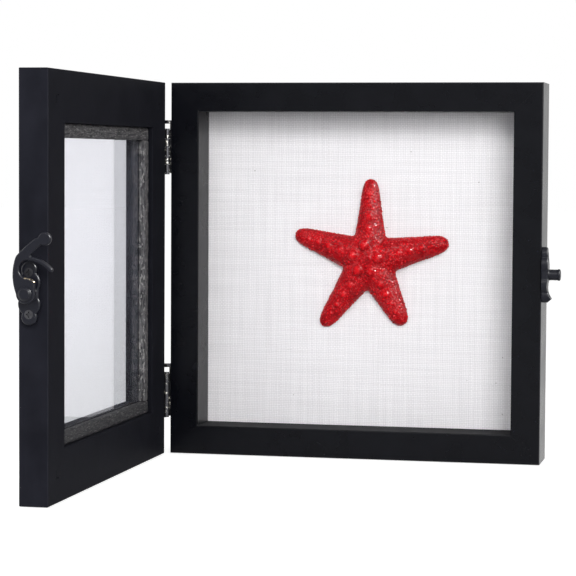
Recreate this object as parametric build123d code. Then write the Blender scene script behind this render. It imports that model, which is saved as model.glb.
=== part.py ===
from build123d import *
import math
import os

# A shadow box frame: a shallow square display box with a linen covered back, closed by a glazed
# door on two side hinges and a swinging hook that drops over a peg.
# Millimetres. +X is the viewer's right, +Y the back and +Z up. The origin is the centre of the
# box's underside. The door is modelled shut, then swung to the open angle that it stands at.

# Box boards
inside_width = 203.2  # eight inches clear
inside_height = 203.2
board_thickness = 18.4
display_depth = 27.0  # front edge of the boards to the linen
rebate_depth = 8.0  # step behind the linen that takes the back
rebate_width = 7.0
arris = 0.8  # rounding of the painted edges

# Linen covered mount and back panel
linen_thickness = 0.6
linen_turn_in = 14.0  # cloth glued down behind the mount board
mount_thickness = 2.4
back_thickness = 3.0
back_play = 0.4  # space round the mount and the back panel in the rebate
point_length = 15.0  # flat steel points that hold the back in
point_width = 8.0
point_thickness = 0.5
point_grip = 5.0  # length of a point inside the board
point_taper = 2.0
point_spacing = 110.0
slot_play = 0.05  # round whatever is driven into the wood

# Sawtooth hanger on the top board's back edge
hanger_length = 44.0
hanger_height = 9.0
hanger_thickness = 0.9
hanger_rise = 1.6  # how far its middle is bowed off the wood
hanger_tab = 8.0  # flat end with the nail hole
hanger_teeth = 9
hanger_tooth_depth = 1.6
hanger_nail_radius = 0.8
hanger_nail_length = 9.0
hanger_nail_head = 1.6
hanger_nail_top = 0.8

# Door rails and stiles
door_thickness = 17.0
closing_gap = 0.8
rail_width = 29.5  # at the inner face
lip_width = 8.0  # what the rail's lip covers of the glass
glass_rebate = 9.0
glass_thickness = 2.0
glass_play = 0.8
strip_thickness = 4.3  # glazing strips behind the glass
brad_width = 1.25
brad_thickness = 1.0
brad_length = 15.0
brad_spacing = 100.0

# Steel V nails across the mitres
v_nail_leg = 5.0
v_nail_thickness = 0.5
v_nail_height = 9.0
v_nail_sink = 0.5
box_v_nail_inset = 3.4
door_v_nail_inset = 14.0

# Stop hinges on the left side
hinge_inset = 41.2  # hinge centre from the frame's end
hinge_height = 34.0
pin_radius = 1.0
pin_play = 0.05
pin_head_radius = 1.75
pin_head_height = 0.8
knuckle_count = 5
knuckle_gap = 0.12
knuckle_stand_off = 0.6  # knuckles to the side of the wood
leaf_thickness = 0.9
leaf_width = 13.0  # from the pin axis
leaf_corner = 1.6
ear_thickness = 2.2
ear_gap = 4.0  # between the stop ear and the top knuckle
ear_reach = 6.0
ear_depth = 5.0
stop_angle = 95.0
stop_play = 0.1
leaf_screw_offset = 7.6
leaf_screw_spacing = 18.0
open_angle = 90.0  # how far the door stands open

# Countersunk screws and round heads
crown_share = 0.65  # what is left of a round head's radius at its top
screw_play = 0.05
leaf_screw_radius = 0.9
leaf_screw_head = 1.8
leaf_screw_length = 9.0
latch_screw_radius = 1.1
latch_screw_head = 2.5
latch_screw_length = 13.0
recess_length = 3.2  # cross recess in the latch screws
recess_width = 0.75
recess_heart = 1.9
recess_depth = 0.9

# Cast latch: two scalloped plates, the peg and the boss
latch_drop = 2.6  # hook pivot below the middle of the frame
pivot_setback = 7.0  # hook pivot behind the door's outer face
peg_rise = 2.4  # peg above the hook pivot when shut
plate_height = 35.0
plate_width = 12.8
plate_spine = 10.8
plate_thickness = 3.6
plate_bevel = 0.7
plate_flare = 6.2  # how far the strike plate's foot curls out
flare_share = 0.87  # place of the curl between the peg and the foot
hollow_share = 0.5  # place of the hollow above the curl
lobe_spacing = 12.0
end_lobe_radius = 4.5
plate_screw_spacing = 23.0
boss_radius = 4.4
rivet_radius = 1.6
rivet_play = 0.06
rivet_head_radius = 4.0
rivet_head_height = 1.7
rivet_head_crown = 1.2
peg_radius = 3.4
peg_head_radius = 3.7
peg_head_height = 1.6
peg_head_crown = 0.5

# Cast hook, standing up: heights above its pivot and widths towards the box
hook_stand_off = 7.2  # underside of the hook from the wood
hook_thickness = 2.8
hook_play = 0.1
hook_bevel = 0.6
hub_radius = 5.4
throat_radius = 14.25  # pivot to the peg
throat_play = 0.7  # peg to the finger
throat_ease = 2.1  # peg to the hub
throat_end_angle = 85.0
finger_thickness = 2.4
finger_end_angle = 43.0
finger_root_angle = 82.0
back_bulge = 1.9  # how far the back swells past the hub
back_bulge_height = 11.0
shoulder_height = 20.5
crown_out = -0.6
crown_height = 25.2
lever_top_out = 5.4
lever_top_height = 30.2
lever_hollow_out = 6.3
lever_hollow_height = 24.6
thumb_radius = 3.7
thumb_out = 10.9
thumb_height = 30.0

# Dried starfish glued to the linen: the directions of its arms, and how far each one reaches
star_angles = (89.7, 12.4, -62.3, -125.2, 162.2)
top_arm = 51.7
right_arm = 52.3
lower_right_arm = 47.6
lower_left_arm = 53.5
left_arm = 51.6
star_right = 6.3  # its centre from the middle of the linen
star_rise = 7.0
star_body = 11.6  # an arm's radius at the centre, at the waist and at the tip
star_waist = 8.6
star_waist_at = 19.0
star_tip = 4.7
star_flat_count = 16
star_foot = 14.5  # the centre's radius at the linen and at its top
star_crown = 10.4
star_height = 12.6
star_knob_at = 8.5
star_knob_radius = 2.9
star_knob_top = 1.6
star_knob_height = 13.8
knob_flat_count = 8

# Places worked out from the sizes
outer_width = inside_width + 2 * board_thickness
outer_height = inside_height + 2 * board_thickness
side_x = outer_width / 2
middle_z = outer_height / 2
box_depth = display_depth + rebate_depth
front_y = -box_depth / 2
back_y = box_depth / 2
linen_y = front_y + display_depth
mount_y = linen_y + linen_thickness
turn_in_y = mount_y + mount_thickness
panel_y = turn_in_y + linen_thickness
points_y = panel_y + back_thickness
door_inner_y = front_y - closing_gap
door_outer_y = door_inner_y - door_thickness
glass_y = door_inner_y - glass_rebate
strip_y = glass_y + glass_thickness
sight_width = rail_width + lip_width
knuckle_radius = pin_radius + pin_play + leaf_thickness
pin_offset = knuckle_radius + knuckle_stand_off
hinge_x = -side_x - pin_offset
hinge_y = front_y - closing_gap / 2
hinge_heights = {"lower": hinge_inset, "upper": outer_height - hinge_inset}
pivot_y = door_outer_y + pivot_setback
pivot_z = middle_z - latch_drop
peg_y = pivot_y + math.sqrt(throat_radius**2 - peg_rise**2)
peg_z = pivot_z + peg_rise

# Each side as it is made: along X with its outer edge at z = 0, and where it then goes
sides = {
    "bottom": (Location((0, 0, 0)), outer_width),
    "right": (Location((side_x, 0, middle_z), (0, -90, 0)), outer_height),
    "top": (Location((0, 0, outer_height), (0, 180, 0)), outer_width),
    "left": (Location((-side_x, 0, middle_z), (0, 90, 0)), outer_height),
}
door_sides = {
    "bottom": ("door_bottom_rail", "glazing_strip_bottom"),
    "right": ("door_latch_stile", "glazing_strip_latch_side"),
    "top": ("door_top_rail", "glazing_strip_top"),
    "left": ("door_hinge_stile", "glazing_strip_hinge_side"),
}
hangs_down = (Align.CENTER, Align.CENTER, Align.MAX)
stands_up = (Align.CENTER, Align.CENTER, Align.MIN)

box = {}
door = {}
hook = {}


def block(x, y, z):
    """A block between two limits along each axis."""
    middles = [(low + high) / 2 for low, high in (x, y, z)]
    spans = [high - low for low, high in (x, y, z)]
    return Pos(*middles) * Box(*spans)


def upright(outline, low, high):
    """An outline in X and Z, extruded between two depths."""
    half = abs(high - low) / 2
    return Pos(0, (low + high) / 2, 0) * extrude(Plane.XZ * outline, amount=half, both=True)


def level(outline, low, high):
    """An outline in X and Y, extruded between two heights."""
    return Pos(0, 0, (low + high) / 2) * extrude(outline, amount=(high - low) / 2, both=True)


def round_head(radius, height, crown):
    """A turned head standing on z = 0, bevelled to that depth at the top."""
    bevel = Pos(0, 0, height - crown) * Cone(radius, radius * crown_share, crown, align=stands_up)
    return Cylinder(radius, height - crown, align=stands_up) + bevel


def group(pieces):
    return Compound(children=list(pieces))


def countersunk(radius, head_radius, length, play=0.0):
    """A countersunk screw with its head's top at z = 0, or its hole when there is play."""
    cone = Cone(radius + play, head_radius + play, head_radius - radius, align=hangs_down)
    screw = cone + Cylinder(radius + play, length + play, align=hangs_down)
    if play:
        return screw + Cylinder(head_radius + play, head_radius, align=stands_up)
    return screw


def cross_recess():
    """The recess in a latch screw's head."""
    across = Box(recess_length, recess_width, recess_depth, align=hangs_down)
    heart = Box(recess_heart, recess_heart, recess_depth, align=hangs_down)
    return across + [Rot(0, 0, 90) * across, Rot(0, 0, 45) * heart]


# Boards and rails
def moulding(corners, rounded):
    """A section in depth and width, with its arrises rounded at the corners named."""
    face = make_face(Polyline(*corners, close=True))
    arrises = [v for v in face.vertices() if any(math.dist((v.X, v.Y), c) < arris / 10 for c in rounded)]
    return Plane.YZ * fillet(arrises, arris)


def mitred(section, length, width):
    """A moulding of that section, cut at 45 degrees at both ends."""
    bar = extrude(section, amount=length / 2, both=True)
    half = length / 2
    ends = Polygon((-half, 0), (half, 0), (half - width, width), (width - half, width), align=None)
    return bar & upright(ends, door_outer_y - arris, back_y + arris)


def v_nails(inset, surface_y, inward):
    """Four V nails, one across each mitre, and the slots that they are driven into."""
    low, high, step = inset, inset + v_nail_leg, inset + v_nail_thickness
    top = surface_y + inward * v_nail_sink
    foot = top + inward * v_nail_height
    bent = [(low, low), (high, low), (high, step), (step, step), (step, high), (low, high)]
    nails, slots = [], []
    for across in (-1, 1):
        for top_corner in (False, True):
            corners = [(across * (side_x - u), outer_height - w if top_corner else w) for u, w in bent]
            outline = Polygon(*corners, align=None)
            nails.append(upright(outline, top, foot))
            slots.append(upright(outline, surface_y, foot))
    return nails, slots


board_back = board_thickness - rebate_width
board_section = moulding(
    [(front_y, 0), (back_y, 0), (back_y, board_back), (linen_y, board_back),
     (linen_y, board_thickness), (front_y, board_thickness)],
    [(front_y, 0), (back_y, 0), (front_y, board_thickness)],
)
box_nails, box_slots = v_nails(box_v_nail_inset, back_y, -1)
box["box_corner_v_nails"] = group(box_nails)
root = board_back - point_grip
points = []
for side, (place, length) in sides.items():
    slots = []
    for across in (-point_spacing / 2, point_spacing / 2):
        reach = (across - point_width / 2, across + point_width / 2)
        point = block(reach, (points_y, points_y + point_thickness), (root, root + point_length))
        point = chamfer(point.edges().filter_by(Axis.Y).group_by(Axis.Z)[0], point_taper)
        points.append(place * point)
        slots.append(block((reach[0] - slot_play, reach[1] + slot_play),
                           (points_y - slot_play, points_y + point_thickness + slot_play),
                           (root - slot_play, board_thickness)))
    board = mitred(board_section, length, board_thickness) - slots
    box[f"box_{side}_board"] = place * board - box_slots
box["back_panel_points"] = group(points)

# Back panel, mount board and the linen drawn round the mount board
def panel(front, back, inset):
    across = inside_width / 2 + rebate_width - back_play - inset
    up = inside_height / 2 + rebate_width - back_play - inset
    return block((-across, across), (front, back), (middle_z - up, middle_z + up))


box["back_panel"] = panel(panel_y, points_y, 0)
box["mount_board"] = panel(mount_y, turn_in_y, linen_thickness)
covered = [box["mount_board"], panel(turn_in_y, panel_y, linen_turn_in)]
box["linen_backing"] = panel(linen_y, panel_y, 0) - covered

# Sawtooth hanger, bowed off the back edge of the top board and held by two nails
tab_x = hanger_length / 2 - hanger_tab
bow_x = tab_x - hanger_rise
bow_y = back_y + hanger_rise
skin = hanger_thickness / 2
right_half = [(bow_x, bow_y), (tab_x, back_y), (hanger_length / 2, back_y),
              (hanger_length / 2, back_y + hanger_thickness), (tab_x + skin, back_y + hanger_thickness),
              (bow_x + skin, bow_y + hanger_thickness)]
hanger_line = right_half + [(-x, y) for x, y in reversed(right_half)]
hanger_low = outer_height - board_back / 2 - hanger_height / 2
hanger = level(Polygon(*hanger_line, align=None), hanger_low, hanger_low + hanger_height)
pitch = 2 * (bow_x - hanger_rise) / hanger_teeth
teeth = [(-hanger_teeth * pitch / 2, hanger_low)]
for tooth in range(hanger_teeth):
    left = (tooth - hanger_teeth / 2) * pitch
    teeth += [(left + pitch / 2, hanger_low + hanger_tooth_depth), (left + pitch, hanger_low)]
teeth += [(teeth[-1][0], hanger_low - hanger_tooth_depth), (teeth[0][0], hanger_low - hanger_tooth_depth)]
hanger -= upright(Polygon(*teeth, align=None), back_y, back_y + hanger_height)
hanger_nails, hanger_holes = [], []
for across in (-1, 1):
    seat = Location((across * (tab_x + hanger_tab / 2), back_y + hanger_thickness,
                     hanger_low + hanger_height / 2), (-90, 0, 0))
    nail = Cylinder(hanger_nail_head, hanger_nail_top, align=stands_up)
    nail += Cylinder(hanger_nail_radius, hanger_nail_length, align=hangs_down)
    hanger_nails.append(seat * nail)
    hanger_holes.append(seat * Cylinder(hanger_nail_radius + slot_play, hanger_nail_length + slot_play,
                                        align=hangs_down))
box["sawtooth_hanger"] = hanger - hanger_holes
box["box_top_board"] -= hanger_holes
box["hanger_nails"] = group(hanger_nails)

# Door rails and stiles rebated for the glass, with the glazing strips and their brads
door_section = moulding(
    [(door_inner_y, 0), (door_inner_y, rail_width), (glass_y, rail_width), (glass_y, sight_width),
     (door_outer_y, sight_width), (door_outer_y, 0)],
    [(door_inner_y, 0), (door_inner_y, rail_width), (door_outer_y, sight_width), (door_outer_y, 0)],
)
door_nails, door_slots = v_nails(door_v_nail_inset, door_inner_y, -1)
door["door_corner_v_nails"] = group(door_nails)
brads = []
for side, (place, length) in sides.items():
    rail_name, strip_name = door_sides[side]
    ends = rail_width if side in ("top", "bottom") else sight_width
    strip = block((ends - length / 2, length / 2 - ends), (strip_y, strip_y + strip_thickness),
                  (rail_width, sight_width))
    holes = []
    for across in (-brad_spacing / 2, brad_spacing / 2):
        start = place * Pos(across, strip_y + strip_thickness / 2, sight_width)
        brads.append(start * Box(brad_width, brad_thickness, brad_length, align=hangs_down))
        holes.append(start * Box(brad_width + 2 * slot_play, brad_thickness + 2 * slot_play,
                                 brad_length + slot_play, align=hangs_down))
    door[rail_name] = place * mitred(door_section, length, sight_width) - door_slots - holes
    door[strip_name] = place * strip - holes
door["glazing_brads"] = group(brads)
pane_x = side_x - rail_width - glass_play
pane_low = rail_width + glass_play
door["glass_pane"] = block((-pane_x, pane_x), (glass_y, strip_y), (pane_low, outer_height - pane_low))

# Stop hinges, each built round its pin at 0, 0 with the side of the wood at x = pin_offset
body_top = hinge_height / 2 - ear_thickness - ear_gap
body_bottom = -hinge_height / 2
knuckle_length = (body_top - body_bottom) / knuckle_count
sheet = (pin_offset - leaf_thickness, pin_offset)
leaf_setback = math.sqrt(max(knuckle_radius**2 - sheet[0]**2, 0)) + knuckle_gap
leaf_screw = (leaf_screw_radius, leaf_screw_head, leaf_screw_length)


def hinge_leaf(first_knuckle):
    """A stamped leaf on the box's side of the pin, with every other knuckle."""
    leaf = block(sheet, (leaf_setback, leaf_width), (-hinge_height / 2, hinge_height / 2))
    leaf = fillet(leaf.edges().filter_by(Axis.X).group_by(Axis.Y)[-1], leaf_corner)
    rolled = []
    for knuckle in range(first_knuckle, knuckle_count, 2):
        top = body_top - knuckle * knuckle_length - knuckle_gap / 2
        bottom = top - knuckle_length + knuckle_gap
        rolled.append(Pos(0, 0, bottom) * Cylinder(knuckle_radius, top - bottom, align=stands_up))
        rolled.append(block(sheet, (0, leaf_setback), (bottom, top)))
    holes = [Cylinder(pin_radius + pin_play, hinge_height)]
    for up in (-leaf_screw_spacing / 2, leaf_screw_spacing / 2):
        seat = Location((sheet[0], leaf_screw_offset, up), (0, -90, 0))
        holes.append(seat * countersunk(*leaf_screw, screw_play))
    return leaf + rolled - holes


def stop_ear():
    """The ear, square to the pin, that the open door's leaf comes to rest on."""
    turn = math.radians(stop_angle)
    normal = Vector(math.cos(turn), -math.sin(turn))
    along = Vector(-math.sin(turn), -math.cos(turn))
    foot = normal * (pin_offset - leaf_thickness - stop_play)
    near, far = foot - along * leaf_thickness, foot + along * ear_reach
    outline = Polygon((near.X, near.Y), (far.X, far.Y), (far.X, ear_depth), (pin_offset, ear_depth),
                      (pin_offset, leaf_setback / 2), align=None)
    return level(outline, hinge_height / 2 - ear_thickness, hinge_height / 2)


def hinge_pin():
    shank = body_top - body_bottom + 2 * pin_play
    heads = [Pos(0, 0, shank / 2) * Cylinder(pin_head_radius, pin_head_height, align=stands_up),
             Pos(0, 0, -shank / 2) * Cylinder(pin_head_radius, pin_head_height, align=hangs_down)]
    return Pos(0, 0, (body_top + body_bottom) / 2) * (Cylinder(pin_radius, shank) + heads)


box_screws, door_screws = [], []
for name, height in hinge_heights.items():
    place = Pos(hinge_x, hinge_y, height)
    box[f"{name}_hinge_box_leaf"] = place * (hinge_leaf(0) + stop_ear())
    door[f"{name}_hinge_door_leaf"] = place * mirror(hinge_leaf(1), Plane.XZ)
    box[f"{name}_hinge_pin"] = place * hinge_pin()
    for up in (-leaf_screw_spacing / 2, leaf_screw_spacing / 2):
        seat_x, seat_z = -side_x - leaf_thickness, height + up
        box_seat = Location((seat_x, hinge_y + leaf_screw_offset, seat_z), (0, -90, 0))
        door_seat = Location((seat_x, hinge_y - leaf_screw_offset, seat_z), (0, -90, 0))
        box_screws.append(box_seat * countersunk(*leaf_screw))
        door_screws.append(door_seat * countersunk(*leaf_screw))
        box["box_left_board"] -= box_seat * countersunk(*leaf_screw, screw_play)
        door["door_hinge_stile"] -= door_seat * countersunk(*leaf_screw, screw_play)
box["hinge_box_leaf_screws"] = group(box_screws)
door["hinge_door_leaf_screws"] = group(door_screws)

# Latch: drawn on the right side of the frame as seen from there, and built out along +X
latch_screw = (latch_screw_radius, latch_screw_head, latch_screw_length)
outward = (0, 90, 0)


def cast(outline, y, z, low, high):
    """An outline in Y and Z about a centre on the frame's side, between two heights off the wood."""
    plane = Plane((side_x + low, y, z), x_dir=(0, 1, 0), z_dir=(1, 0, 0))
    return extrude(plane * outline, amount=high - low)


def plate_outline():
    """The scalloped outline that both plates share."""
    lobes = []
    for up in (-1, 1):
        lobes.append(Pos(0, up * lobe_spacing / 2) * Circle(plate_width / 2))
        lobes.append(Pos(0, up * (plate_height / 2 - end_lobe_radius)) * Circle(end_lobe_radius))
    return Rectangle(plate_spine, lobe_spacing) + lobes


def plate_screws(y, z):
    """Two screws through a plate, their holes, and the room above their heads."""
    screws, holes, above = [], [], []
    for up in (-plate_screw_spacing / 2, plate_screw_spacing / 2):
        seat = Location((side_x + plate_thickness, y, z + up), outward)
        screws.append(seat * (countersunk(*latch_screw) - cross_recess()))
        holes.append(seat * countersunk(*latch_screw, screw_play))
        above.append(seat * Cylinder(latch_screw_head + screw_play, plate_flare, align=stands_up))
    return screws, holes, above


# Latch plate with its boss, and the rivet that the hook turns on
screws, holes, above = plate_screws(pivot_y, pivot_z)
plate = cast(plate_outline(), pivot_y, pivot_z, 0, plate_thickness)
plate = chamfer(plate.faces().sort_by(Axis.X)[-1].edges(), plate_bevel)
plate += cast(Circle(boss_radius), pivot_y, pivot_z, 0, hook_stand_off - hook_play)
bore = cast(Circle(rivet_radius + slot_play), pivot_y, pivot_z, plate_bevel, hook_stand_off)
door["latch_plate"] = plate - bore - holes
door["door_latch_stile"] -= holes
door["latch_plate_screws"] = group(screws)
hook_top = hook_stand_off + hook_thickness
rivet_head = Location((side_x + hook_top + hook_play, pivot_y, pivot_z), outward) * round_head(
    rivet_head_radius, rivet_head_height, rivet_head_crown)
rivet_shank = cast(Circle(rivet_radius), pivot_y, pivot_z, plate_bevel, hook_top + hook_play)
door["latch_rivet"] = rivet_shank + rivet_head

# Strike plate and peg in one casting: its thickness follows a profile that curls out at the foot
screws, holes, above = plate_screws(peg_y, peg_z)
reach = plate_height / 2
peg_base = plate_thickness + plate_bevel
curl = (plate_flare, -flare_share * reach)
profile = make_face([
    Polyline((peg_base, -peg_radius), (peg_base, peg_radius), (plate_thickness, reach - plate_bevel),
             (plate_thickness - plate_bevel, reach), (0, reach), (0, -reach), (plate_thickness, -reach),
             curl),
    ThreePointArc(curl, (plate_thickness, -hollow_share * reach), (peg_base, -peg_radius)),
])
strike = cast(plate_outline(), peg_y, peg_z, 0, plate_flare) & (
    Pos(side_x, 0, peg_z) * upright(profile, peg_y - plate_width, peg_y + plate_width))
neck_top = hook_top + 2 * hook_play
neck = cast(Circle(peg_radius), peg_y, peg_z, 0, neck_top)
peg_head = Location((side_x + neck_top, peg_y, peg_z), outward) * round_head(
    peg_head_radius, peg_head_height, peg_head_crown)
box["strike_plate"] = strike - holes - above + neck + peg_head
box["box_right_board"] -= holes
box["strike_plate_screws"] = group(screws)


# Hook: the throat's sides are struck from the pivot, so that the peg runs into it as the hook turns
def polar(radius, angle):
    return (radius * math.cos(math.radians(angle)), radius * math.sin(math.radians(angle)))


def hook_outline():
    inner = throat_radius - peg_radius - throat_ease
    outer = throat_radius + peg_radius + throat_play
    finger = outer + finger_thickness
    lip = (hub_radius, math.sqrt(inner**2 - hub_radius**2))
    lip_angle = math.degrees(math.atan2(lip[1], lip[0]))
    finger_middle = (throat_end_angle + finger_end_angle) / 2
    tip_angle = finger_end_angle - math.degrees(finger_thickness / 2 / outer)
    throat_end = Vector(polar((outer + inner) / 2, throat_end_angle))
    throat_end += Vector(polar((outer - inner) / 2, throat_end_angle + 90))
    shoulder = (-hub_radius, shoulder_height)
    lever_top = (lever_top_out, lever_top_height)
    finger_root = polar(finger, finger_root_angle)
    root_middle = (finger_root_angle + finger_end_angle) / 2
    thumb_top = (thumb_out, thumb_height + thumb_radius / 2)
    thumb_foot = (thumb_out, thumb_height - thumb_radius / 2)
    body = make_face([
        ThreePointArc((hub_radius, 0), (0, -hub_radius), (-hub_radius, 0)),
        ThreePointArc((-hub_radius, 0), (-hub_radius - back_bulge, back_bulge_height), shoulder),
        ThreePointArc(shoulder, (crown_out, crown_height), lever_top),
        Polyline(lever_top, thumb_top, thumb_foot),
        ThreePointArc(thumb_foot, (lever_hollow_out, lever_hollow_height), finger_root),
        ThreePointArc(finger_root, polar(finger, root_middle), polar(finger, finger_end_angle)),
        ThreePointArc(polar(finger, finger_end_angle), polar(outer + finger_thickness / 2, tip_angle),
                      polar(outer, finger_end_angle)),
        ThreePointArc(polar(outer, finger_end_angle), polar(outer, finger_middle),
                      polar(outer, throat_end_angle)),
        ThreePointArc(polar(outer, throat_end_angle), (throat_end.X, throat_end.Y),
                      polar(inner, throat_end_angle)),
        ThreePointArc(polar(inner, throat_end_angle), polar(inner, (throat_end_angle + lip_angle) / 2), lip),
        Line(lip, (hub_radius, 0)),
    ])
    return body + Pos(thumb_out, thumb_height) * Circle(thumb_radius)


swing = cast(hook_outline(), pivot_y, pivot_z, hook_stand_off, hook_top)
swing = chamfer(swing.faces().sort_by(Axis.X)[-1].edges(), hook_bevel)
hook_bore = cast(Circle(rivet_radius + rivet_play), pivot_y, pivot_z, hook_stand_off, hook_top)
hook["latch_hook"] = swing - hook_bore


# Starfish of many flats: tapering arms round a low centre with knobs, cut flat where it lies on the linen
def tapering(flats, stations):
    """A solid along +X through polygons of those radii at those distances."""
    rings = []
    for along, radius in stations:
        ring = Plane((along, 0, 0), x_dir=(0, 0, 1), z_dir=(1, 0, 0))
        rings.append(ring * RegularPolygon(radius, flats))
    return loft(rings, ruled=True)


outward_from_linen = Rot(0, 0, -90)
knob_ends = [(0, star_knob_radius), (star_knob_height, star_knob_top)]
knob = outward_from_linen * tapering(knob_flat_count, knob_ends)
centre = outward_from_linen * tapering(star_flat_count, [(0, star_foot), (star_height, star_crown)])
arms, knobs = [], []
arm_lengths = (top_arm, right_arm, lower_right_arm, lower_left_arm, left_arm)
for angle, length in zip(star_angles, arm_lengths):
    turn = Rot(0, -angle, 0)
    arms.append(turn * tapering(star_flat_count, [(0, star_body), (star_waist_at, star_waist),
                                             (length - star_tip, star_tip), (length, star_tip / 2)]))
    knobs.append(turn * Pos(star_knob_at, 0, 0) * knob)
in_front = Box(inside_width, display_depth, inside_height, align=(Align.CENTER, Align.MAX, Align.CENTER))
starfish = (arms[0] + arms[1:] + [centre] + knobs) & in_front
box["starfish"] = Pos(star_right, linen_y, middle_z + star_rise) * starfish

# Swing the door with its hook to the open angle, then write one file for each node
hinge_axis = Axis((hinge_x, hinge_y, 0), (0, 0, 1))
os.makedirs("parts", exist_ok=True)
for name, piece in box.items():
    export_step(piece, f"parts/{name}.step")
for name, piece in {**door, **hook}.items():
    export_step(piece.rotate(hinge_axis, -open_angle), f"parts/{name}.step")
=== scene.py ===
import math

import bpy
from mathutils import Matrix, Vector, kdtree, noise


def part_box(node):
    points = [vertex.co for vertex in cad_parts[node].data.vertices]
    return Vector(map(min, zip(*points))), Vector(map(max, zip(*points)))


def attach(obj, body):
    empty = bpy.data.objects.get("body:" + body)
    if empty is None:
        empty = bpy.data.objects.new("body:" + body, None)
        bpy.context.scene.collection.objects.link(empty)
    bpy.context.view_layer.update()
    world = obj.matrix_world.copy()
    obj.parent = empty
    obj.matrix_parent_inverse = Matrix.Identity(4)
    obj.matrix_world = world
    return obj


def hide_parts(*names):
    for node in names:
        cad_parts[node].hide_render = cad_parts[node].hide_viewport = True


# Shadow box frame with its glazed door open at a right angle. Metres, in the row frame: +X to the
# right, +Y to the back, +Z up.
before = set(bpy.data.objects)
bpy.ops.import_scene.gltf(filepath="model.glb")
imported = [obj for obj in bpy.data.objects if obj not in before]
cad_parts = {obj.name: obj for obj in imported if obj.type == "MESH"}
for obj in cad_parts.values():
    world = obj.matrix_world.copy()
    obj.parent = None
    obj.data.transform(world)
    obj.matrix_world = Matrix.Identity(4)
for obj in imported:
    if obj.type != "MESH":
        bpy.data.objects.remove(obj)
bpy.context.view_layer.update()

# Camera. A long lens from the right, a little below the frame's top, fitted to the corners of the
# box, the opening, the linen and the open door.
bpy.ops.object.camera_add(
    location=(0.2669, -1.4443, 0.1909),
    rotation=(math.radians(86.780), math.radians(-0.338), math.radians(12.240)),
)
camera = bpy.context.object
camera.data.sensor_width = 36
camera.data.lens = 142.63
bpy.context.scene.camera = camera
bpy.context.scene.view_settings.view_transform = "Standard"


# Floor and surroundings. A white sweep under the object and white walls round it, plain white to the
# eye, in the glass and in the metal, with the object's soft shadow left on the floor.
class Level:
    """A value in a material. Sums, differences and products of these add their Math nodes."""

    def __init__(self, recipe, socket):
        self.recipe = recipe
        self.socket = socket

    def math(self, operation, *others):
        values = dict(enumerate((self, *others)))
        return self.recipe.add("ShaderNodeMath", values, operation=operation)

    def __add__(self, other):
        return self.math("ADD", other)

    def __sub__(self, other):
        return self.math("SUBTRACT", other)

    def __mul__(self, other):
        return self.math("MULTIPLY", other)

    def __rsub__(self, other):
        return (self * -1) + other

    __radd__ = __add__
    __rmul__ = __mul__

    def unsigned(self):
        return self.math("ABSOLUTE")

    def least(self, other):
        return self.math("MINIMUM", other)

    def most(self, other):
        return self.math("MAXIMUM", other)

    def between(self, low, high):
        """0 where the value is at low, 1 where it is at high, and smooth between them."""
        ends = {"Value": self, "From Min": low, "From Max": high}
        return self.recipe.add("ShaderNodeMapRange", ends, interpolation_type="SMOOTHSTEP")


class Recipe:
    """The nodes of a material or of the world, as they are put together."""

    def __init__(self, owner):
        owner.use_nodes = True
        self.owner = owner
        self.tree = owner.node_tree
        self.tree.nodes.clear()

    def add(self, kind, values=None, output=0, stops=None, **settings):
        """A node with its settings, ramp stops and socket values. Gives what comes out of it."""
        node = self.tree.nodes.new(kind)
        for name, setting in settings.items():
            setattr(node, name, setting)
        for number, (position, colour) in enumerate(stops or ()):
            ramp = node.color_ramp
            if number >= len(ramp.elements):
                ramp.elements.new(position)
            ramp.elements[number].position = position
            ramp.elements[number].color = (*colour, 1)
        for name, value in (values or {}).items():
            if isinstance(value, Level):
                self.tree.links.new(value.socket, node.inputs[name])
            else:
                node.inputs[name].default_value = value
        return Level(self, node.outputs[output]) if node.outputs else None

    def mix(self, share, first, second):
        """The first colour where the share is 0, and the second where it is 1."""
        return self.add("ShaderNodeMix", {0: share, 6: first, 7: second}, output=2, data_type="RGBA")

    def seen(self):
        """1 to the eye, also in metal and through glass, and 0 to what lights the object."""
        seen = self.add("ShaderNodeLightPath", output="Is Camera Ray")
        for ray in ("Is Glossy Ray", "Is Transmission Ray"):
            seen = seen.most(self.add("ShaderNodeLightPath", output=ray))
        return seen


white = (1, 1, 1, 1)
floor_height = -0.0006
floor_glow = 0.75
bpy.ops.mesh.primitive_plane_add(size=14, location=(0, 0, floor_height))
floor = bpy.context.object
floor.name = "floor"
sweep = Recipe(bpy.data.materials.new("white sweep"))
paper = sweep.add("ShaderNodeBsdfDiffuse", {"Color": (0.5, 0.5, 0.5, 1)})
glow = sweep.add("ShaderNodeEmission", {"Color": white, "Strength": sweep.seen() * floor_glow})
both = sweep.add("ShaderNodeAddShader", {0: paper, 1: glow})
sweep.add("ShaderNodeOutputMaterial", {"Surface": both})
floor.data.materials.append(sweep.owner)

world = bpy.data.worlds.new("studio")
bpy.context.scene.world = world
room = Recipe(world)
room_seen = room.seen()
room_light = 0.52
strength = room_seen + (1 - room_seen) * room_light
backdrop = room.add("ShaderNodeBackground", {"Color": white, "Strength": strength})
room.add("ShaderNodeOutputWorld", {"Surface": backdrop})


# Lamps. A soft box in front and to the upper right, which shades the linen narrowly under the top
# board and beside the right one, a weaker one higher up, a strip from the left, and a small one
# high on the right that only puts glints on the starfish and the metal.
def soft_box(name, place, target, width, height, watts):
    facing = (Vector(target) - Vector(place)).to_track_quat("-Z", "Y")
    bpy.ops.object.light_add(type="AREA", location=place, rotation=facing.to_euler())
    lamp = bpy.context.object
    lamp.name = name
    lamp.data.shape = "RECTANGLE"
    lamp.data.size = width
    lamp.data.size_y = height
    lamp.data.energy = watts
    return lamp


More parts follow.
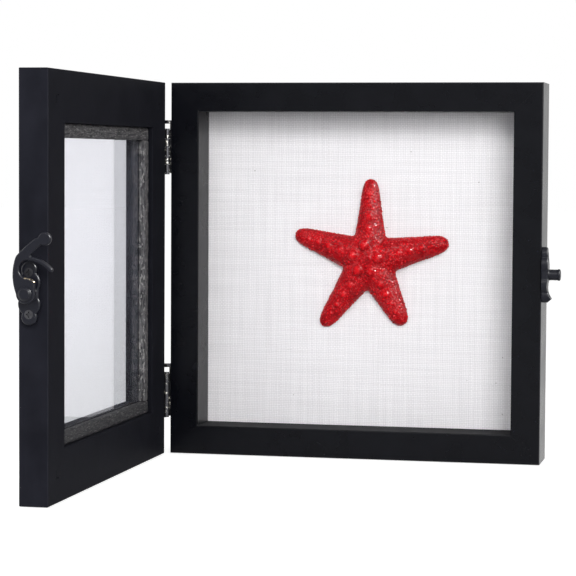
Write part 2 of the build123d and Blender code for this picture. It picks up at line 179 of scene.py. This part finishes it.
box_middle = (0, 0, 0.12)
door_middle = (-0.13, -0.15, 0.12)
soft_box("right_soft_box", (0.78, -1.4, 0.66), box_middle, width=0.8, height=0.8, watts=18)
soft_box("top_soft_box", (-0.15, -1.3, 1.02), box_middle, width=0.9, height=0.5, watts=8.5)
soft_box("left_strip", (-1.35, -0.9, 0.45), door_middle, width=0.25, height=0.9, watts=8)
glint_lamp = soft_box("glint_lamp", (1.14, -0.45, 1.0), box_middle, width=0.2, height=0.4, watts=110)
glint_lamp.visible_diffuse = False


# Painted wood. Four box boards and four door rails, mitred and glued, then sanded and sprayed black,
# the box satin and the door matt; the door's is the box's black without its sheen, made lighter as
# painted sheen. The arrises are just broken and rubbed, and their lighter colour is partly a painted
# highlight. The mitres show as a hairline, and the door's V nails are painted over.
def dress(finish, *nodes):
    """Gives CAD nodes that finish."""
    for node in nodes:
        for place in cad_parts[node].material_slots:
            place.material = finish


class Finish(Recipe):
    """A surface's material, mixed from patterns in the object's own coordinates."""

    def __init__(self, name):
        super().__init__(bpy.data.materials.new(name))
        self.place = self.add("ShaderNodeTexCoord", output="Object")

    def axes(self):
        """Width, depth and height in metres."""
        return [self.add("ShaderNodeSeparateXYZ", {0: self.place}, output=way) for way in range(3)]

    def stretched(self, x, y, z):
        """The place with its axes multiplied."""
        return self.add("ShaderNodeVectorMath", {0: self.place, 1: (x, y, z)}, operation="MULTIPLY")

    def cloud(self, scale, detail, place=None):
        """Soft noise with that many waves to the metre, around a half."""
        values = {"Vector": place or self.place, "Scale": scale, "Detail": detail}
        return self.add("ShaderNodeTexNoise", values)

    def cells(self, scale):
        """Distance from the nearest of many scattered points."""
        return self.add("ShaderNodeTexVoronoi", {"Vector": self.place, "Scale": scale})

    def bump(self, height, depth):
        """A normal for that height, which is depth metres from 0 to 1."""
        return self.add("ShaderNodeBump", {"Height": height, "Distance": depth, "Strength": 1.0})

    def surface(self, values):
        shader = self.add("ShaderNodeBsdfPrincipled", values)
        self.add("ShaderNodeOutputMaterial", {"Surface": shader})
        return self.owner


def black_paint(name, across, low, high, light, dark, outer_patch_colour, sheen, roughness, sill=None):
    """Black paint on a square frame between two corners, whose width runs along the axis across.
    Its outer faces are lighter in patches, and its arrises are lighter, partly as a painted highlight.
    A level inner face at the sill's height dried rough."""
    paint = Finish(name)
    axes = paint.axes()
    through = 1 - across
    middle = (low + high) / 2
    half = (high - low) / 2
    from_side = half[across] - (axes[across] - middle[across]).unsigned()
    from_end = half[2] - (axes[2] - middle[2]).unsigned()
    from_outside = from_side.least(from_end)
    from_middle = (axes[through] - middle[through]).unsigned()

    arris = 0.0005
    at_edge = 0.0001
    seam = 1 - (from_side - from_end).unsigned().between(0.00008, 0.00022)
    arris_wear_and_highlight = from_middle.between(half[through] - arris, half[through] - at_edge)
    arris_wear_and_highlight = arris_wear_and_highlight * from_outside.between(arris, at_edge)
    outer = from_outside.between(0.0004, at_edge)
    # Lighter patches on the outer faces.
    outer_patches = paint.cloud(60, 3, paint.stretched(1, 1, 0.5)).between(0.3, 0.7) * 0.26 + 0.07
    speck = paint.cells(420).between(0.045, 0.02)
    patch = paint.cloud(55, 3)

    colour = paint.mix(patch.between(0.35, 0.7), dark, light)
    colour = paint.mix(speck * 0.35, colour, (0.05, 0.05, 0.055, 1))
    # The arrises are lighter, partly as wear and partly as a painted highlight along them.
    colour = paint.mix(arris_wear_and_highlight * 0.8, colour, (0.050, 0.050, 0.060, 1))
    colour = paint.mix(seam * 0.7, colour, (0.004, 0.004, 0.005, 1))
    colour = paint.mix(outer_patches * outer, colour, outer_patch_colour)
    rough = patch * 0.12 + roughness + arris_wear_and_highlight * 0.35
    if sill:
        # The side boards are as thick as the sill is high.
        inside = from_side.between(sill - 0.0006, sill - 0.0002)
        below = axes[2].between(sill - 0.0004, sill - 0.0001)
        above = axes[2].between(sill, sill + 0.0003)
        rough = rough + below * (1 - above) * inside * 0.42
    orange_peel = paint.cloud(700, 2) * 0.8 + paint.cloud(160, 2) * 2.4
    return paint.surface({
        "Base Color": colour,
        "Roughness": rough,
        "Specular IOR Level": sheen,
        "Normal": paint.bump(orange_peel - seam * 0.5, 0.00003),
    })


box_paint = black_paint(
    "satin black paint on the box",
    across=0, low=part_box("box_left_board")[0], high=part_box("box_right_board")[1],
    light=(0.0022, 0.0025, 0.0042, 1), dark=(0.0014, 0.0016, 0.0030, 1), outer_patch_colour=(0.004, 0.004, 0.006, 1),
    sheen=0.1, roughness=0.22, sill=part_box("box_bottom_board")[1][2],
)
# The door's paint is the box's black without its sheen; its colour is lighter as painted sheen.
door_paint_sheen_painted = black_paint(
    "matt black paint on the door",
    across=1, low=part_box("door_latch_stile")[0], high=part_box("door_hinge_stile")[1],
    light=(0.0095, 0.0098, 0.0132, 1), dark=(0.0076, 0.0079, 0.0108, 1), outer_patch_colour=(0.021, 0.0215, 0.030, 1),
    sheen=0.006, roughness=0.45,
)
dress(box_paint, "box_bottom_board", "box_right_board", "box_top_board", "box_left_board")
dress(door_paint_sheen_painted, "door_bottom_rail", "door_latch_stile", "door_top_rail", "door_hinge_stile",
      "door_corner_v_nails")

# Boards behind. A grey card that carries the linen, and a panel of brown hardboard, pressed from fine
# fibres, that closes the box from behind.
card = Finish("grey mount board")
fibre = card.cloud(900, 4)
dress(card.surface({
    "Base Color": card.mix(fibre, (0.52, 0.50, 0.46, 1), (0.66, 0.64, 0.60, 1)),
    "Roughness": 0.9,
    "Normal": card.bump(fibre, 0.00004),
}), "mount_board")

hardboard = Finish("brown hardboard")
fibre = hardboard.cloud(700, 6, hardboard.stretched(1, 1, 0.5))
fleck = hardboard.cloud(1500, 3)
stained = hardboard.cloud(14, 2).between(0.3, 0.7)
colour = hardboard.mix(fibre.between(0.25, 0.75), (0.135, 0.070, 0.032, 1), (0.205, 0.115, 0.056, 1))
colour = hardboard.mix(stained * 0.4, colour, (0.115, 0.060, 0.028, 1))
colour = hardboard.mix(fleck.between(0.56, 0.7) * 0.5, colour, (0.34, 0.22, 0.12, 1))
dress(hardboard.surface({
    "Base Color": colour,
    "Roughness": fibre * 0.2 + 0.42,
    "Normal": hardboard.bump(fleck + fibre, 0.00006),
}), "back_panel")


# Points, nails and hanger. Flat steel points, driven into the boards, hold the panel in, V nails draw
# the mitres together, and a sawtooth hanger is nailed to the top board. All are zinc plated, and the
# hanger's zinc is yellow.
def sheet_metal(name, light, dark, roughness):
    """Rolled and plated metal with a faint grain and duller patches."""
    metal = Finish(name)
    grain = metal.cloud(500, 3, metal.stretched(1, 1, 9))
    patch = metal.cloud(130, 3)
    return metal.surface({
        "Base Color": metal.mix(patch.between(0.3, 0.75), light, dark),
        "Metallic": 1.0,
        "Roughness": grain * 0.16 + patch * 0.14 + roughness,
        "Normal": metal.bump(grain, 0.00001),
    })


dress(sheet_metal("bright zinc", (0.62, 0.62, 0.63, 1), (0.42, 0.42, 0.43, 1), 0.2),
      "box_corner_v_nails", "back_panel_points", "hanger_nails")
dress(sheet_metal("yellow zinc", (0.72, 0.58, 0.30, 1), (0.50, 0.41, 0.24, 1), 0.22), "sawtooth_hanger")

# Linen. Off-white plain weave with slubs, cut 251.6 mm square, stretched over the mount board with
# its edges drawn round and glued down behind.
linen_low, linen_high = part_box("linen_backing")
linen_width = linen_high[0] - linen_low[0]
linen_middle = (linen_low[2] + linen_high[2]) / 2
cloth = 0.0006
turn_in = 0.014


def alone(piece):
    """Selects only that piece and makes it the active one."""
    bpy.ops.object.select_all(action="DESELECT")
    piece.select_set(True)
    bpy.context.view_layer.objects.active = piece


def apply_all(piece):
    """Applies the piece's place and its modifiers."""
    alone(piece)
    bpy.ops.object.transform_apply(location=True, rotation=True, scale=True)
    for modifier in list(piece.modifiers):
        bpy.ops.object.modifier_apply(modifier=modifier.name)


bpy.ops.object.select_all(action="DESELECT")
bpy.ops.mesh.primitive_grid_add(
    x_subdivisions=24, y_subdivisions=24, size=linen_width - cloth,
    location=(0, linen_low[1] + cloth / 2, linen_middle), rotation=(math.pi / 2, 0, 0),
)
linen = bpy.context.object
linen.name = "linen"
apply_all(linen)
bpy.ops.object.mode_set(mode="EDIT")
bpy.ops.mesh.select_all(action="SELECT")
bpy.ops.mesh.region_to_loop()
drawn_back = linen_high[1] - linen_low[1] - cloth
bpy.ops.mesh.extrude_region_move(TRANSFORM_OT_translate={"value": (0, drawn_back, 0)})
bpy.ops.mesh.extrude_region_move()
shrunk = 1 - 2 * turn_in / linen_width
bpy.ops.transform.resize(value=(shrunk, 1, shrunk), center_override=(0, linen_high[1], linen_middle))
bpy.ops.mesh.select_all(action="SELECT")
bpy.ops.mesh.normals_make_consistent(inside=False)
bpy.ops.object.mode_set(mode="OBJECT")
fold = linen.modifiers.new("fold", "BEVEL")
fold.width = 0.0005
fold.segments = 2
fold.angle_limit = math.radians(60)
thickness = linen.modifiers.new("thickness", "SOLIDIFY")
thickness.thickness = cloth
thickness.offset = 0
apply_all(linen)
bpy.ops.object.shade_smooth_by_angle(angle=math.radians(40))

weave = Finish("off-white linen")
thread = 0.00115
wander = 0.0009
across, _, up = weave.axes()
warp_place = across + (weave.cloud(140, 2) - 0.5) * wander
weft_place = up + (weave.cloud(150, 2, weave.stretched(1, 1, 0.9)) - 0.5) * wander
warp = (warp_place * (math.pi / thread)).math("SINE")
weft = (weft_place * (math.pi / thread)).math("SINE")
warp_on_top = (warp * weft).between(-0.15, 0.15)
height = warp.unsigned() * warp_on_top + weft.unsigned() * (1 - warp_on_top)
warp_tone = weave.cloud(1, 2, weave.stretched(620, 1, 16))
weft_tone = weave.cloud(1, 2, weave.stretched(16, 1, 620))
tone = warp_tone * warp_on_top + weft_tone * (1 - warp_on_top)
slub = weft_tone.between(0.64, 0.74) * weave.cloud(60, 1).between(0.45, 0.6)
# Painted shade: the weave is darker where each thread dips under the one crossing it; the rest of the
# share is the threads' own tone.
thread_shade_and_tone = height.between(0.0, 0.9) * 0.72 + tone.between(0.3, 0.7) * 0.28
colour = weave.mix(thread_shade_and_tone, (0.58, 0.565, 0.585, 1), (0.89, 0.875, 0.895, 1))
speck = weave.cells(62).between(0.032, 0.02)
colour = weave.mix(speck * 0.6, colour, (0.22, 0.20, 0.18, 1))
linen.data.materials.append(weave.surface({
    "Base Color": colour,
    "Roughness": 0.92,
    "Specular IOR Level": 0.0,
    "Sheen Weight": 0.15,
    "Normal": weave.bump(height * (tone * 0.5 + 0.75) + slub * 0.8, 0.00022),
}))
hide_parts("linen_backing")
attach(linen, "box")

# Starfish. Dried, dyed red and lacquered: five tapering arms with a row of knobs along each ridge,
# five large knobs round the centre, and coarse granules all over. Its flat underside is glued to
# the linen. Each arm is given by its angle, length and girth.
heart = Vector((0.0063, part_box("starfish")[1][1], 0.127))
heart_radius = 0.0128
star_arms = [(89.7, 0.0520, 0.93), (12.4, 0.0526, 1.02), (-62.3, 0.0479, 1.03), (-125.2, 0.0538, 0.97),
             (162.2, 0.0519, 1.0)]
flatness = 0.9

# The arm's radius at each share of its length.
arm_taper = [(0.0, 0.0116), (0.24, 0.0113), (0.36, 0.0102), (0.5, 0.0089), (0.64, 0.0078),
             (0.78, 0.0068), (0.88, 0.0059), (0.94, 0.0048), (0.98, 0.0033), (1.0, 0.0014)]

# The ridge knobs' radius at each share of the arm's length, and where the centre knobs stand.
ridge_knobs = [(0.38, 0.0027), (0.53, 0.0024), (0.67, 0.0019), (0.80, 0.0015)]
ridge_knob_sunk = 0.45
centre_knobs = [(-0.0023, 0.0092), (0.0063, 0.0009), (0.0019, -0.0073), (-0.0067, -0.0071),
                (-0.0098, 0.0025)]
centre_knob_radius = 0.0035
centre_knob_rise = 0.0105


def arm_direction(angle):
    return Vector((math.cos(math.radians(angle)), 0, math.sin(math.radians(angle))))


def arm_radius(share):
    """The arm's radius at that share of its length, before its girth."""
    for (near, wide), (far, narrow) in zip(arm_taper, arm_taper[1:]):
        if share <= far:
            return wide + (narrow - wide) * (share - near) / (far - near)
    return arm_taper[-1][1]


def new_skin(piece, voxel, rounds=0):
    """Covers the piece with one closed skin, and smooths it that many rounds."""
    skin = piece.modifiers.new("skin", "REMESH")
    skin.mode = "VOXEL"
    skin.voxel_size = voxel
    if rounds:
        softened = piece.modifiers.new("softened", "SMOOTH")
        softened.factor = 0.5
        softened.iterations = rounds
    apply_all(piece)


def fuse(parts, voxel, rounds):
    """Joins the parts under one skin."""
    bpy.ops.object.select_all(action="DESELECT")
    for part in parts:
        part.select_set(True)
    bpy.context.view_layer.objects.active = parts[0]
    bpy.ops.object.join()
    whole = bpy.context.object
    new_skin(whole, voxel, rounds)
    return whole


parts = []
for angle, length, girth in star_arms:
    way = arm_direction(angle)
    bpy.ops.mesh.primitive_circle_add(
        vertices=24, radius=arm_taper[0][1] * girth, fill_type="NGON", location=heart,
        rotation=way.to_track_quat("Z", "Y").to_euler(),
    )
    arm = bpy.context.object
    apply_all(arm)
    bpy.ops.object.mode_set(mode="EDIT")
    bpy.ops.mesh.select_all(action="SELECT")
    for (near, wide), (far, narrow) in zip(arm_taper, arm_taper[1:]):
        step = way * length * (far - near)
        bpy.ops.mesh.extrude_region_move(TRANSFORM_OT_translate={"value": step})
        ratio = narrow / wide
        bpy.ops.transform.resize(value=(ratio, ratio, ratio), center_override=heart + way * length * far)
    bpy.ops.mesh.select_all(action="SELECT")
    bpy.ops.mesh.normals_make_consistent(inside=False)
    bpy.ops.object.mode_set(mode="OBJECT")
    parts.append(arm)
bpy.ops.mesh.primitive_uv_sphere_add(segments=32, ring_count=16, radius=heart_radius, location=heart)
parts.append(bpy.context.object)
starfish = fuse(parts, voxel=0.0007, rounds=18)

knobs = []
for to_right, upwards in centre_knobs:
    knobs.append((heart + Vector((to_right, -centre_knob_rise, upwards)), centre_knob_radius))
for angle, length, girth in star_arms:
    for share, radius in ridge_knobs:
        rise = arm_radius(share) * girth - radius * ridge_knob_sunk
        knobs.append((heart + arm_direction(angle) * length * share + Vector((0, -rise, 0)), radius))
parts = [starfish]
for place, radius in knobs:
    bpy.ops.mesh.primitive_ico_sphere_add(subdivisions=3, radius=radius, location=place)
    parts.append(bpy.context.object)
starfish = fuse(parts, voxel=0.00045, rounds=4)
starfish.name = "starfish_skin"
bpy.ops.object.mode_set(mode="EDIT")
bpy.ops.mesh.select_all(action="SELECT")
bpy.ops.transform.resize(value=(1, flatness, 1), center_override=heart)
bpy.ops.object.mode_set(mode="OBJECT")


def surface_points(piece):
    """Each vertex with its place and normal, all read before any of them moves."""
    return [(vertex, vertex.co.copy(), vertex.normal.copy()) for vertex in piece.data.vertices]


def held(value, low, high):
    """The value, held between low and high."""
    return min(max(value, low), high)


knob_tops = kdtree.KDTree(len(knobs))
for number, (place, radius) in enumerate(knobs):
    knob_tops.insert(heart + (place - heart + Vector((0, -radius, 0))) * Vector((1, flatness, 1)), number)
knob_tops.balance()
granule = 0.0016
granule_rise = 0.0007
# Painted shade and light: this attribute is low in the hollows between granules and high on the tops of
# granules and knobs, and the shell's red follows it.
shaded_hollows_lit_tops = starfish.data.attributes.new("shaded_hollows_lit_tops", "FLOAT", "POINT")
for vertex, place, facing in surface_points(starfish):
    near, _ = noise.voronoi(place / granule)
    dome = held((near[1] - near[0]) * 1.6, 0, 1)
    lift = (dome - 0.45) * (0.7 + 0.5 * noise.noise(place * 260))
    _, number, away = knob_tops.find(place)
    knobbed = held(1.25 - away / (knobs[number][1] * 1.1), 0, 1)
    shaded_hollows_lit_tops.data[vertex.index].value = 0.5 + lift * (0.8 - 0.5 * knobbed) + knobbed * 0.18
    vertex.co = place + facing * lift * (1 - 0.7 * knobbed) * granule_rise
alone(starfish)
bpy.ops.object.mode_set(mode="EDIT")
bpy.ops.mesh.select_all(action="SELECT")
bpy.ops.mesh.bisect(plane_co=heart, plane_no=(0, 1, 0), clear_outer=True)
bpy.ops.mesh.select_all(action="DESELECT")
bpy.ops.mesh.select_non_manifold()
bpy.ops.mesh.fill(use_beauty=False)
bpy.ops.object.mode_set(mode="OBJECT")
bpy.ops.object.shade_smooth()

shell = Finish("red lacquered starfish")
grain = shell.add("ShaderNodeAttribute", output="Fac", attribute_name="shaded_hollows_lit_tops")
fine = shell.cloud(2600, 2)
patch = shell.cloud(120, 3)
# Scattered paler red dots.
pale_dots = shell.cells(760).between(0.42, 0.20) * patch.between(0.35, 0.6)
# The red is darker in the granules' hollows as painted shade, and lighter on granule and knob tops as
# painted light.
colour = shell.add("ShaderNodeValToRGB", {0: grain + (patch - 0.5) * 0.35}, stops=[
    (0.22, (0.19, 0.0005, 0.003)), (0.48, (0.38, 0.0012, 0.005)), (0.88, (0.70, 0.003, 0.008)),
])
starfish.data.materials.append(shell.surface({
    "Base Color": shell.mix(pale_dots * 0.35, colour, (0.85, 0.11, 0.12, 1)),
    "Roughness": (1 - grain) * 0.22 + 0.2,
    "Specular IOR Level": 0.06,
    "Coat Weight": shell.cloud(500, 2).between(0.42, 0.62) * 0.25,
    "Coat Roughness": 0.1,
    "Sheen Weight": 0.3,
    "Sheen Roughness": 0.35,
    "Sheen Tint": (1, 0.3, 0.32, 1),
    "Normal": shell.bump(fine + shell.cells(900) * 1.2, 0.00012),
}))
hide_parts("starfish")
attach(starfish, "box")

# Glass. A pane of 2 mm clear float glass that lies against the door's lip. It has a faint cold tint,
# which is duller toward its foot, and a film of dust.
pane = Finish("door glass")
_, _, up = pane.axes()
glass_low, glass_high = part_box("glass_pane")
upward = up.between(glass_low[2], (glass_low[2] + 2 * glass_high[2]) / 3)
tint = pane.mix(upward, (0.695, 0.705, 0.735, 1), (0.85, 0.856, 0.91, 1))
dust = pane.cloud(45, 4).between(0.3, 0.8) * 0.012 + 0.012
clear = pane.add("ShaderNodeBsdfPrincipled", {
    "Base Color": tint, "Roughness": 0.0, "IOR": 1.45, "Transmission Weight": 1.0,
})
film = pane.add("ShaderNodeBsdfDiffuse", {"Color": (0.60, 0.62, 0.72, 1)})
dusty_glass = pane.add("ShaderNodeMixShader", {0: dust, 1: clear, 2: film})
pane.add("ShaderNodeOutputMaterial", {"Surface": dusty_glass})
dress(pane.owner, "glass_pane")


# Glazing strips. Rough sawn slips stained black, with pale scuffs where the saw left the wood furry.
# They lie behind the glass, each held by two brads of dull steel.
def rough_stain(name, deep, up, fade_and_painted_shade):
    """Black stain on sawn wood, lighter as the given share grows. Its saw marks come deep times to the
    metre along Y and up times along Z."""
    rough = Finish(name)
    saw = rough.cloud(1, 4, rough.stretched(700, deep, up))
    scuff = rough.cloud(1, 3, rough.stretched(900, deep * 2.2, up * 2.2)).between(0.56, 0.64)
    colour = rough.mix(saw.between(0.3, 0.7) * fade_and_painted_shade, (0.018, 0.018, 0.0205, 1), (0.094, 0.092, 0.095, 1))
    return rough.surface({
        "Base Color": rough.mix(scuff * (fade_and_painted_shade * 0.45 + 0.2), colour, (0.25, 0.243, 0.238, 1)),
        "Roughness": saw * 0.2 + 0.5,
        "Specular IOR Level": 0.05,
        "Normal": rough.bump(saw + scuff * 0.6, 0.00028),
    })


level_grain = {"deep": 90, "up": 800}
upright_grain = {"deep": 420, "up": 170}
# The bottom strip's stain is darker as painted shade, since its face turns up into the lamps' light; the
# others' levels are how faded the stain is.
stains = {
    "glazing_strip_bottom": rough_stain("black stain on the bottom strip", **level_grain, fade_and_painted_shade=0.35),
    "glazing_strip_latch_side":
        rough_stain("black stain on the latch side strip", **upright_grain, fade_and_painted_shade=1.0),
    "glazing_strip_top": rough_stain("black stain on the top strip", **level_grain, fade_and_painted_shade=1.0),
    "glazing_strip_hinge_side":
        rough_stain("black stain on the hinge side strip", **upright_grain, fade_and_painted_shade=1.15),
}
flat_within = 0.0006
rough_beyond = 0.0016
below_face = 0.0001
for node, stain in stains.items():
    low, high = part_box(node)
    bpy.ops.mesh.primitive_cube_add(size=1, location=(low + high) / 2, scale=high - low)
    strip = bpy.context.object
    strip.name = node + "_rough"
    edges = strip.modifiers.new("edges", "BEVEL")
    edges.width = 0.0003
    new_skin(strip, voxel=0.0008)
    for vertex, place, facing in surface_points(strip):
        off_glass = place.x - glass_high[0]
        free = held((off_glass - flat_within) / (rough_beyond - flat_within), 0, 1)
        waves = noise.noise(place * 330) * 0.00018
        fur = noise.noise(place * 900) * 0.00014
        vertex.co = place + facing * (waves + fur - below_face) * free
    bpy.ops.object.shade_smooth()
    strip.data.materials.append(stain)
    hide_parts(node)
    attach(strip, "door")
dress(sheet_metal("stained steel", (0.10, 0.10, 0.105, 1), (0.04, 0.04, 0.045, 1), 0.4), "glazing_brads")

# Hinges. Pressed steel leaves rolled round a pin and screwed to the outside of the frame, blackened
# but still bright enough to shine, with spots of bright steel on the knuckles that are partly wear
# and partly painted glints.
pin_low, pin_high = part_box("lower_hinge_pin")
pin_middle = (pin_low + pin_high) / 2
hinge_steel = Finish("blackened hinge steel")
patch = hinge_steel.cloud(420, 4)
fine = hinge_steel.cloud(1800, 3)
width, depth, _ = hinge_steel.axes()
from_pin = (width - pin_middle.x).unsigned().most((depth - pin_middle.y).unsigned())
# Bright steel near the pin: partly wear, partly painted glints on the knuckles.
bare_and_glint = (patch + fine * 0.3).between(0.73, 0.83) * from_pin.between(0.0034, 0.0026)
dress(hinge_steel.surface({
    "Base Color": hinge_steel.mix(bare_and_glint, (0.060, 0.060, 0.066, 1), (0.55, 0.53, 0.48, 1)),
    "Metallic": 1.0,
    "Roughness": patch * 0.14 + 0.16,
    "Normal": hinge_steel.bump(fine + patch, 0.00004),
}), "lower_hinge_box_leaf", "upper_hinge_box_leaf", "lower_hinge_door_leaf", "upper_hinge_door_leaf",
    "lower_hinge_pin", "upper_hinge_pin", "hinge_box_leaf_screws", "hinge_door_leaf_screws")


# Latch. A hook that turns on a rivet in its plate, and a strike plate with the peg for it. All are
# cast and painted black, with edges soft from the mould, and the paint is rubbed through to the
# brassy metal where the peg runs along the hook's throat; that brassy lip is partly a painted glint.
def black_casting(paint, bare_and_glint=0.0):
    """Black paint on cast metal, turning by the mask to brassy metal where the paint has gone through;
    that brass is partly a painted glint.
    """
    patch = paint.cloud(420, 4)
    fine = paint.cloud(1800, 3)
    return paint.surface({
        "Base Color": paint.mix(bare_and_glint, (0.0060, 0.0065, 0.0110, 1), (0.52, 0.43, 0.30, 1)),
        "Metallic": bare_and_glint,
        "Roughness": patch * 0.16 + 0.26,
        "Specular IOR Level": 0.16,
        "Normal": paint.bump(fine + patch, 0.00003),
    })


# The throat is struck from the rivet's middle.
rivet_across = -0.13295
rivet_up = 0.1174
throat = 0.00875
rubbed_and_glinting = Finish("black cast hook, rubbed in its throat")
width, _, up = rubbed_and_glinting.axes()
beside = width - rivet_across
above = up - rivet_up
from_rivet = (beside * beside + above * above).math("SQRT")
# The brassy lip along the throat is wear and partly a painted glint.
lip = from_rivet.between(throat - 0.0007, throat - 0.0003)
lip = lip * from_rivet.between(throat + 0.0015, throat + 0.0010)
lip = lip * beside.between(-0.0010, 0.0004) * above.between(0.0048, 0.0062)
hook_paint = black_casting(rubbed_and_glinting, lip * rubbed_and_glinting.cloud(900, 2).between(0.40, 0.55))
plate_paint = black_casting(Finish("black cast latch"))


def cast_piece(node, body, paint, voxel, rounds):
    """Stands for a CAD node with the soft edges and the faint unevenness of a casting, a hair inside
    the node's own box so that it clears what passes it."""
    piece = bpy.data.objects.new(node + "_cast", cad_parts[node].data.copy())
    bpy.context.scene.collection.objects.link(piece)
    piece.data.materials.clear()
    alone(piece)
    bpy.ops.object.mode_set(mode="EDIT")
    bpy.ops.mesh.select_all(action="SELECT")
    bpy.ops.mesh.remove_doubles(threshold=0.000002)
    bpy.ops.object.mode_set(mode="OBJECT")
    new_skin(piece, voxel, rounds)
    unevenness = 0.00005
    hair = 0.00003
    low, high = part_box(node)
    for vertex, place, facing in surface_points(piece):
        moved = place + facing * noise.noise(place * 700) * unevenness
        for way in range(3):
            vertex.co[way] = held(moved[way], low[way] + hair, high[way] - hair)
    bpy.ops.object.shade_smooth()
    piece.data.materials.append(paint)
    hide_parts(node)
    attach(piece, body)


cast_piece("latch_hook", "hook", hook_paint, voxel=0.00024, rounds=12)
cast_piece("latch_plate", "door", plate_paint, voxel=0.00028, rounds=6)
cast_piece("strike_plate", "box", plate_paint, voxel=0.00028, rounds=6)
cast_piece("latch_rivet", "door", plate_paint, voxel=0.0002, rounds=5)
dress(sheet_metal("dull black screws", (0.055, 0.055, 0.060, 1), (0.030, 0.030, 0.034, 1), 0.3),
      "latch_plate_screws", "strike_plate_screws")
